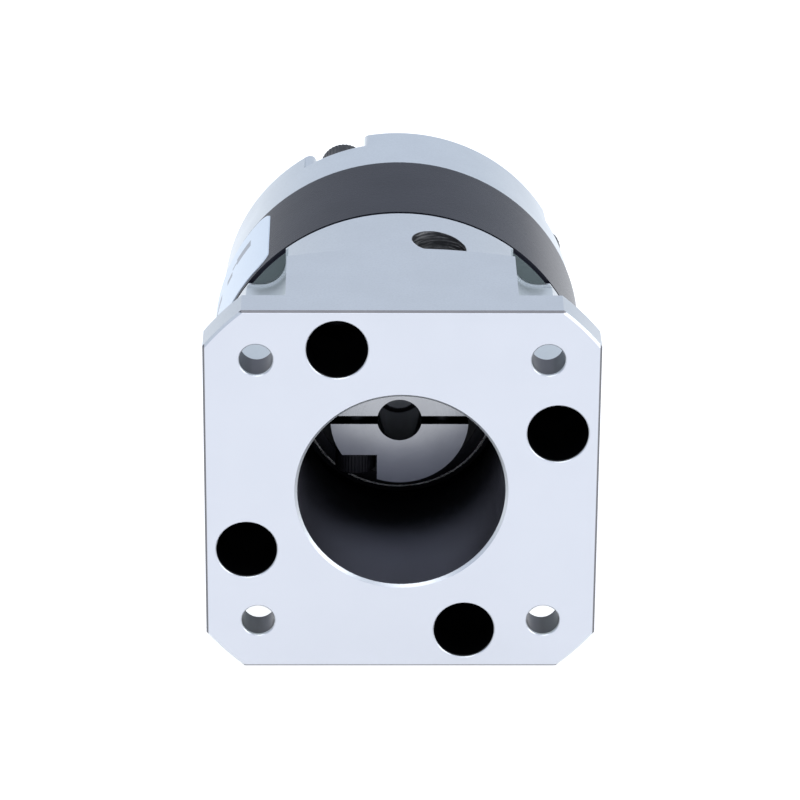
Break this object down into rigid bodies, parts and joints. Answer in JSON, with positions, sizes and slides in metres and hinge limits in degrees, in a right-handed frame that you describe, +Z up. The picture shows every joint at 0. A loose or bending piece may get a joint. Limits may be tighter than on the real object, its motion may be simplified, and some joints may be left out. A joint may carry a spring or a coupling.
{
  "type": "inline gear reducer",
  "caption": "Inline planetary gear reducer with a square motor flange, a split clamp hub on the input side, a dark ring gear section and a round output shaft.",
  "frame": {"origin": "centre of the motor face, which is the centre of the square of motor bolt holes", "axes": "+Y along the gear axis from the motor face to the output shaft, +Z up, +X to the right as seen from the motor side"},
  "size_m": [0.0424, 0.0775, 0.0424],
  "materials": {
    "satin_aluminium": "fine satin machined",
    "satin_aluminium_housing": "fine bead-blasted satin",
    "blackened_steel": "blackened, satin",
    "label_white": "printed film, satin",
    "black_screw_steel": "black oxide",
    "hub_steel": "turned",
    "gear_steel": "hobbed, oiled",
    "bronze": "satin",
    "bearing_steel": "ground",
    "cage_brass": "satin",
    "shaft_steel": "ground",
    "spring_steel": "phosphated",
    "seal_rubber": "moulded"
  },
  "bodies": {
    "casing": {"motor_adapter": "satin_aluminium", "adapter_screws": "black_screw_steel", "front_o_ring": "seal_rubber", "ring_gear": "blackened_steel", "rating_label": "label_white", "rear_o_ring": "seal_rubber", "output_housing": "satin_aluminium_housing", "output_screws": "black_screw_steel", "bearing_spacer": "bearing_steel", "housing_retaining_ring": "spring_steel", "shaft_seal": "seal_rubber", "input_bearing_outer_ring": "bearing_steel", "input_bearing_seals": "seal_rubber", "inner_output_bearing_outer_ring": "bearing_steel", "inner_output_bearing_seals": "seal_rubber", "outer_output_bearing_outer_ring": "bearing_steel", "outer_output_bearing_seals": "seal_rubber"},
    "carrier": {"output_shaft": "shaft_steel", "carrier_front_plate": "shaft_steel", "planet_pins": "bearing_steel", "front_thrust_washers": "bronze", "rear_thrust_washers": "bronze", "shaft_retaining_ring": "spring_steel", "inner_output_bearing_inner_ring": "bearing_steel", "outer_output_bearing_inner_ring": "bearing_steel"},
    "input": {"clamp_hub": "hub_steel", "clamp_screws": "black_screw_steel", "sun_gear": "gear_steel", "input_bearing_inner_ring": "bearing_steel"},
    "planet_1": {"planet_gear_1": "gear_steel", "planet_bush_1": "bronze"},
    "planet_2": {"planet_gear_2": "gear_steel", "planet_bush_2": "bronze"},
    "planet_3": {"planet_gear_3": "gear_steel", "planet_bush_3": "bronze"},
    "input_ball_set": {"input_bearing_balls": "bearing_steel", "input_bearing_cage": "cage_brass"},
    "inner_output_ball_set": {"inner_output_bearing_balls": "bearing_steel", "inner_output_bearing_cage": "cage_brass"},
    "outer_output_ball_set": {"outer_output_bearing_balls": "bearing_steel", "outer_output_bearing_cage": "cage_brass"}
  },
  "joints": [
    {"name": "output_spin", "type": "hinge", "parent": "casing", "child": "carrier", "pos_m": [0, 0, 0], "axis": [0, 1, 0], "continuous": true},
    {"name": "input_spin", "type": "hinge", "parent": "casing", "child": "input", "pos_m": [0, 0, 0], "axis": [0, 1, 0], "continuous": true},
    {"name": "planet_1_spin", "type": "hinge", "parent": "carrier", "child": "planet_1", "pos_m": [0, 0, 0.009], "axis": [0, 1, 0], "continuous": true},
    {"name": "planet_2_spin", "type": "hinge", "parent": "carrier", "child": "planet_2", "pos_m": [-0.00779, 0, -0.0045], "axis": [0, 1, 0], "continuous": true},
    {"name": "planet_3_spin", "type": "hinge", "parent": "carrier", "child": "planet_3", "pos_m": [0.00779, 0, -0.0045], "axis": [0, 1, 0], "continuous": true},
    {"name": "input_cage_spin", "type": "hinge", "parent": "casing", "child": "input_ball_set", "pos_m": [0, 0, 0], "axis": [0, 1, 0], "continuous": true},
    {"name": "inner_output_cage_spin", "type": "hinge", "parent": "casing", "child": "inner_output_ball_set", "pos_m": [0, 0, 0], "axis": [0, 1, 0], "continuous": true},
    {"name": "outer_output_cage_spin", "type": "hinge", "parent": "casing", "child": "outer_output_ball_set", "pos_m": [0, 0, 0], "axis": [0, 1, 0], "continuous": true}
  ],
  "couplings": [
    {"joint": "input_spin", "follows": "output_spin", "ratio": 5},
    {"joint": "planet_1_spin", "follows": "output_spin", "ratio": -2.6667},
    {"joint": "planet_2_spin", "follows": "output_spin", "ratio": -2.6667},
    {"joint": "planet_3_spin", "follows": "output_spin", "ratio": -2.6667},
    {"joint": "input_cage_spin", "follows": "output_spin", "ratio": 2.0039},
    {"joint": "inner_output_cage_spin", "follows": "output_spin", "ratio": 0.41793},
    {"joint": "outer_output_cage_spin", "follows": "output_spin", "ratio": 0.41793}
  ]
}
